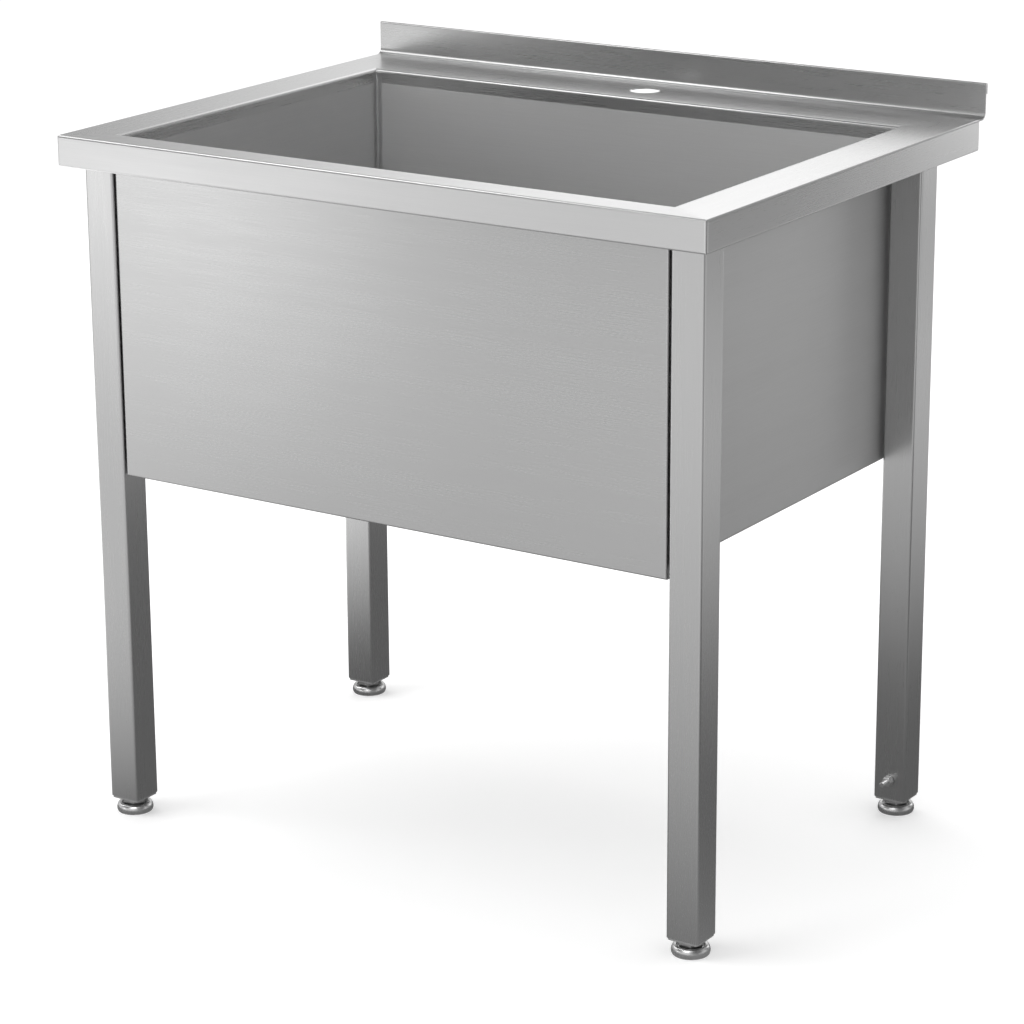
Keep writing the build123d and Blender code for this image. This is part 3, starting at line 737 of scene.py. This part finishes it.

# Zones of the tent: what each is, its middle and its width in metres, and how much brighter or
# darker than the tent it is there. A least-squares fit to the photo's tones computed these
# numbers and the tent's level, except for the deepest shade under the bowl and the softbox high
# on the left, which were set one by one. The names were given afterwards: they say what such a
# zone would be in a studio, not what stood there.
ZONES = (
    ("low strip light in front on the left", (-1.48, -1.83, 0.47), 0.22, 1.77),
    ("pale floor on the left", (-1.34, -0.25, 0.0), 0.32, 2.21),
    ("softbox behind", (-0.69, 1.55, 1.70), 0.62, 1.72),
    ("dark gap over the strip light", (-1.15, -1.44, 1.54), 0.63, -1.5),
    ("dark room behind the camera", (1.88, -0.93, 1.17), 0.73, -1.5),
    ("flag at the back on the right", (1.60, 1.67, 0.65), 0.35, -1.5),
    ("shade under the sink", (0.27, 0.44, 0.0), 0.76, -0.53),
    ("deepest shade under the bowl", (-0.14, -0.06, 0.0), 0.20, -0.50),
    ("softbox over the front", (0.32, -1.67, 1.70), 0.45, 3.99),
    ("dark ceiling", (-0.58, 0.39, 2.29), 1.42, -1.5),
    ("softbox on the left", (-1.83, -0.34, 1.51), 0.42, 4.0),
    ("strip light behind on the right", (1.00, 2.07, 0.68), 0.22, 2.4),
    ("dark floor on the right", (1.36, -0.38, 0.0), 0.31, -1.44),
    ("softbox high on the left", (-0.93, -0.60, 2.13), 0.28, 5.0),
)


class SINK_OT_stage(bpy.types.Operator):
    """Set the floor, the white surroundings, the lamps and the camera"""
    bl_idname = "sink.stage"
    bl_label = "Studio"

    def execute(self, context):
        scene, stage = context.scene, context.scene.sink_stage
        scene.view_settings.view_transform = "Standard"
        self.floor(stage)
        self.surroundings(scene, stage)
        self.lamp("Key Lamp", (-3.4, -3.2, 4.2), (0.0, 0.0, 0.5), size=4.0, power=stage.key)
        self.lamp("Top Softbox", (-0.6, 0.8, 3.8), (0.0, 0.0, 0.7), size=3.2, power=stage.top)
        self.tent()
        self.camera(scene, stage)
        return {"FINISHED"}

    def floor(self, stage):
        """Four tiles that meet under the sink. Each follows the foot that stands on it, so that a
        foot screwed out stands on lower ground, as it does on an uneven floor."""
        finish, tree = blank("Plain Studio Floor")
        paint = add(tree, "ShaderNodeBsdfDiffuse", {"Color": rgba(stage.floor)})
        lift = add(tree, "ShaderNodeMath", {0: self.background_ray(tree), 1: stage.lift},
                   operation="MULTIPLY")
        glow = add(tree, "ShaderNodeEmission", {"Strength": lift.outputs[0]})
        both = add(tree, "ShaderNodeAddShader", {0: paint.outputs[0], 1: glow.outputs[0]})
        add(tree, "ShaderNodeOutputMaterial", {"Surface": both.outputs[0]})
        seam = sum(middle("foot_base_" + corner).y for corner in CORNERS) / len(CORNERS)
        low = -FLOOR_EDGE
        for corner in CORNERS:
            end, side = corner.split("_")
            x = FLOOR_REACH if side == "right" else -FLOOR_REACH
            y = seam + (FLOOR_REACH if end == "rear" else -FLOOR_REACH)
            mesh = bpy.data.meshes.new("floor_" + corner)
            mesh.from_pydata([(0.0, seam, 0.0), (x, seam, 0.0), (x, y, 0.0), (0.0, y, 0.0),
                              (0.0, seam, low), (x, seam, low), (0.0, y, low)], [],
                             [(0, 1, 2, 3), (0, 1, 5, 4), (3, 0, 4, 6)])
            mesh.materials.append(finish)
            made = bpy.data.objects.new("floor_" + corner, mesh)
            bpy.context.scene.collection.objects.link(made)
            made.visible_glossy = False             # the steel sees the tent's own floor
            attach(made, "base_" + corner)

    def background_ray(self, tree):
        """1 for the rays that show the background: camera, glossy and transmission rays."""
        ray = add(tree, "ShaderNodeLightPath")
        seen = add(tree, "ShaderNodeMath", {0: ray.outputs["Is Camera Ray"],
                                            1: ray.outputs["Is Glossy Ray"]}, operation="MAXIMUM")
        return add(tree, "ShaderNodeMath", {0: seen.outputs[0],
                                            1: ray.outputs["Is Transmission Ray"]},
                   operation="MAXIMUM").outputs[0]

    def surroundings(self, scene, stage):
        """White to the camera and in reflections, softer as light on the object."""
        world = bpy.data.worlds.new("Studio")
        scene.world = world
        world.use_nodes = True
        tree = world.node_tree
        tree.nodes.clear()
        level = add(tree, "ShaderNodeMapRange", {"Value": self.background_ray(tree),
                                                 "To Min": stage.fill, "To Max": 1.0})
        light = add(tree, "ShaderNodeBackground",
                    {"Color": rgba((1.0, 1.0, 1.0)), "Strength": level.outputs[0]})
        add(tree, "ShaderNodeOutputWorld", {"Surface": light.outputs[0]})

    def tent(self):
        """Grey tent with soft bright and dark zones, seen only in reflections."""
        rings, rows, spokes, clearance = 24, 24, 72, 1.0 * MM
        outline = [(TENT_RADIUS * i / rings, clearance) for i in range(rings)]
        for row in range(rows + 1):
            turn = math.pi / 2 * row / rows
            outline.append((TENT_RADIUS * math.cos(turn),
                            clearance + TENT_RADIUS * math.sin(turn)))
        bm = bmesh.new()
        swept(bm, plain(outline), spokes)
        mesh = finished("tent", bm)
        level = mesh.attributes.new("level", "FLOAT", "POINT")
        for vertex in mesh.vertices:
            value = TENT_LEVEL
            for _, place, width, extra in ZONES:
                away = (vertex.co - Vector(place)).length
                value += extra * math.exp(-away ** 2 / (2 * width ** 2))
            level.data[vertex.index].value = max(TENT_DARKEST, value)
        made = bpy.data.objects.new("tent", mesh)
        bpy.context.scene.collection.objects.link(made)
        finish, tree = blank("Studio Tent")
        finish.cycles.emission_sampling = "NONE"
        shade = add(tree, "ShaderNodeAttribute", attribute_name="level")
        light = add(tree, "ShaderNodeEmission", {"Strength": shade.outputs["Fac"]})
        add(tree, "ShaderNodeOutputMaterial", {"Surface": light.outputs[0]})
        mesh.materials.append(finish)
        made.visible_camera = made.visible_diffuse = made.visible_shadow = False
        made.visible_transmission = made.visible_volume_scatter = False

    def lamp(self, name, place, target, size, power):
        """Square lamp that faces a point of the sink."""
        light = bpy.data.lights.new(name, "AREA")
        light.shape = "SQUARE"
        light.size = size
        light.energy = power
        made = bpy.data.objects.new(name, light)
        bpy.context.scene.collection.objects.link(made)
        made.location = place
        made.visible_glossy = False                 # the steel is lit by the tent alone
        made.rotation_euler = (Vector(target) - Vector(place)).to_track_quat("-Z", "Y").to_euler()

    def camera(self, scene, stage):
        """Long lens from in front on the right, a little above the rim."""
        yaw, pitch, roll = 0.580, -0.301, -0.006    # radians
        lens = bpy.data.cameras.new("Camera")
        lens.sensor_width = 36.0
        lens.lens = stage.focal
        lens.clip_end = 200.0
        camera = bpy.data.objects.new("Camera", lens)
        scene.collection.objects.link(camera)
        camera.matrix_world = (Matrix.Translation(stage.camera) @ Matrix.Rotation(yaw, 4, "Z")
                               @ Matrix.Rotation(math.pi / 2 + pitch, 4, "X")
                               @ Matrix.Rotation(roll, 4, "Z"))
        scene.camera = camera


# ---- the add-on -----------------------------------------------------------------------------
STEPS = (SINK_OT_rim, SINK_OT_bowl, SINK_OT_welds, SINK_OT_legs, SINK_OT_feet, SINK_OT_fixings,
         SINK_OT_waste, SINK_OT_stage)
SETTINGS = {"sink_steel": SteelSettings, "sink_welds": WeldSettings, "sink_feet": FootSettings,
            "sink_fixings": FixingSettings, "sink_stage": StageSettings}


class SINK_PT_sidebar(bpy.types.Panel):
    """Sizes, colours and steps of the laundry sink"""
    bl_idname = "SINK_PT_sidebar"
    bl_label = "Laundry Sink"
    bl_space_type = "VIEW_3D"
    bl_region_type = "UI"
    bl_category = "Laundry Sink"

    def draw(self, context):
        layout = self.layout
        for step in STEPS:
            layout.operator(step.bl_idname)
        for group in SETTINGS:
            box = layout.box()
            settings = getattr(context.scene, group)
            for name in settings.bl_rna.properties.keys():
                if name not in ("rna_type", "name"):
                    box.prop(settings, name)


CLASSES = (*SETTINGS.values(), *STEPS, SINK_PT_sidebar)


def register():
    for entry in CLASSES:
        bpy.utils.register_class(entry)
    for name, group in SETTINGS.items():
        setattr(bpy.types.Scene, name, PointerProperty(type=group))


def unregister():
    for name in SETTINGS:
        delattr(bpy.types.Scene, name)
    for entry in reversed(CLASSES):
        bpy.utils.unregister_class(entry)


def main():
    register()
    for step in STEPS:
        family, name = step.bl_idname.split(".")
        getattr(getattr(bpy.ops, family), name)()


if __name__ == "__main__":
    main()
